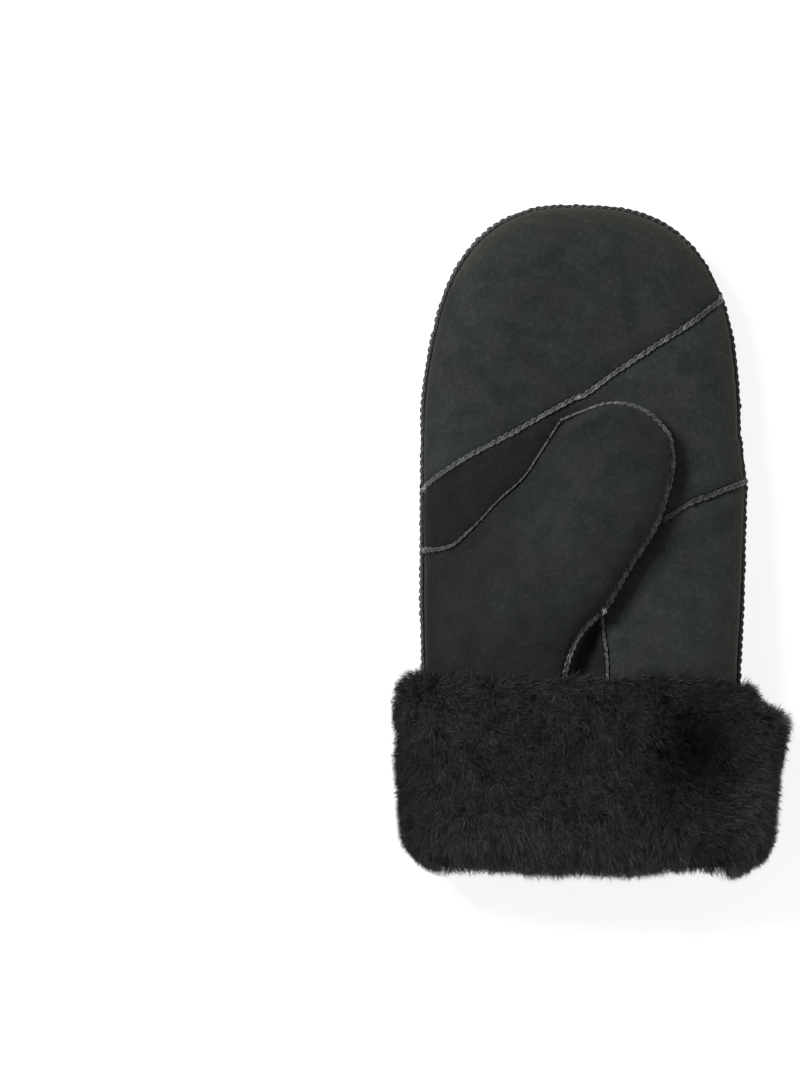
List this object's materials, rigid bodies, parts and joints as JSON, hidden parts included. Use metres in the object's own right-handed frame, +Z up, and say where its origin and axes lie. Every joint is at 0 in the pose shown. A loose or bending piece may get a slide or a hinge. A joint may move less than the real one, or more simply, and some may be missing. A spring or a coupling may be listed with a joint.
{
  "type": "sheepskin mitten",
  "caption": "Left-hand sheepskin mitten lying palm up: suede panels with whip-stitched seams, a thumb, wool pile inside and a turned-back wool cuff.",
  "frame": {"origin": "middle of the footprint on the surface that the mitten lies on", "axes": "+X towards the little-finger side, +Y towards the fingertips, +Z up, out of the palm"},
  "size_m": [0.1555, 0.2658, 0.0618],
  "materials": {
    "suede": "black sheepskin suede, matte with a fine mottled nap",
    "seam_thread": "dark waxed thread whip-stitched over the leather edges",
    "wool_pile": "black dyed sheep's wool, matte, in soft locks"
  },
  "bodies": {
    "root": {"palm_finger_panel": "suede", "palm_middle_panel": "suede", "palm_heel_panel": "suede", "thumb_front_panel": "suede", "thumb_back_panel": "suede", "back_centre_panel": "suede", "back_thumb_side_panel": "suede", "back_outer_panel": "suede", "edge_seam": "seam_thread", "finger_seam": "seam_thread", "thumb_base_seam": "seam_thread", "thumb_edge_seam": "seam_thread", "heel_seam": "seam_thread", "thumb_gusset_seam": "seam_thread", "back_thumb_side_seam": "seam_thread", "back_outer_seam": "seam_thread", "wool_lining": "wool_pile", "fur_cuff": "wool_pile"}
  },
  "joints": []
}
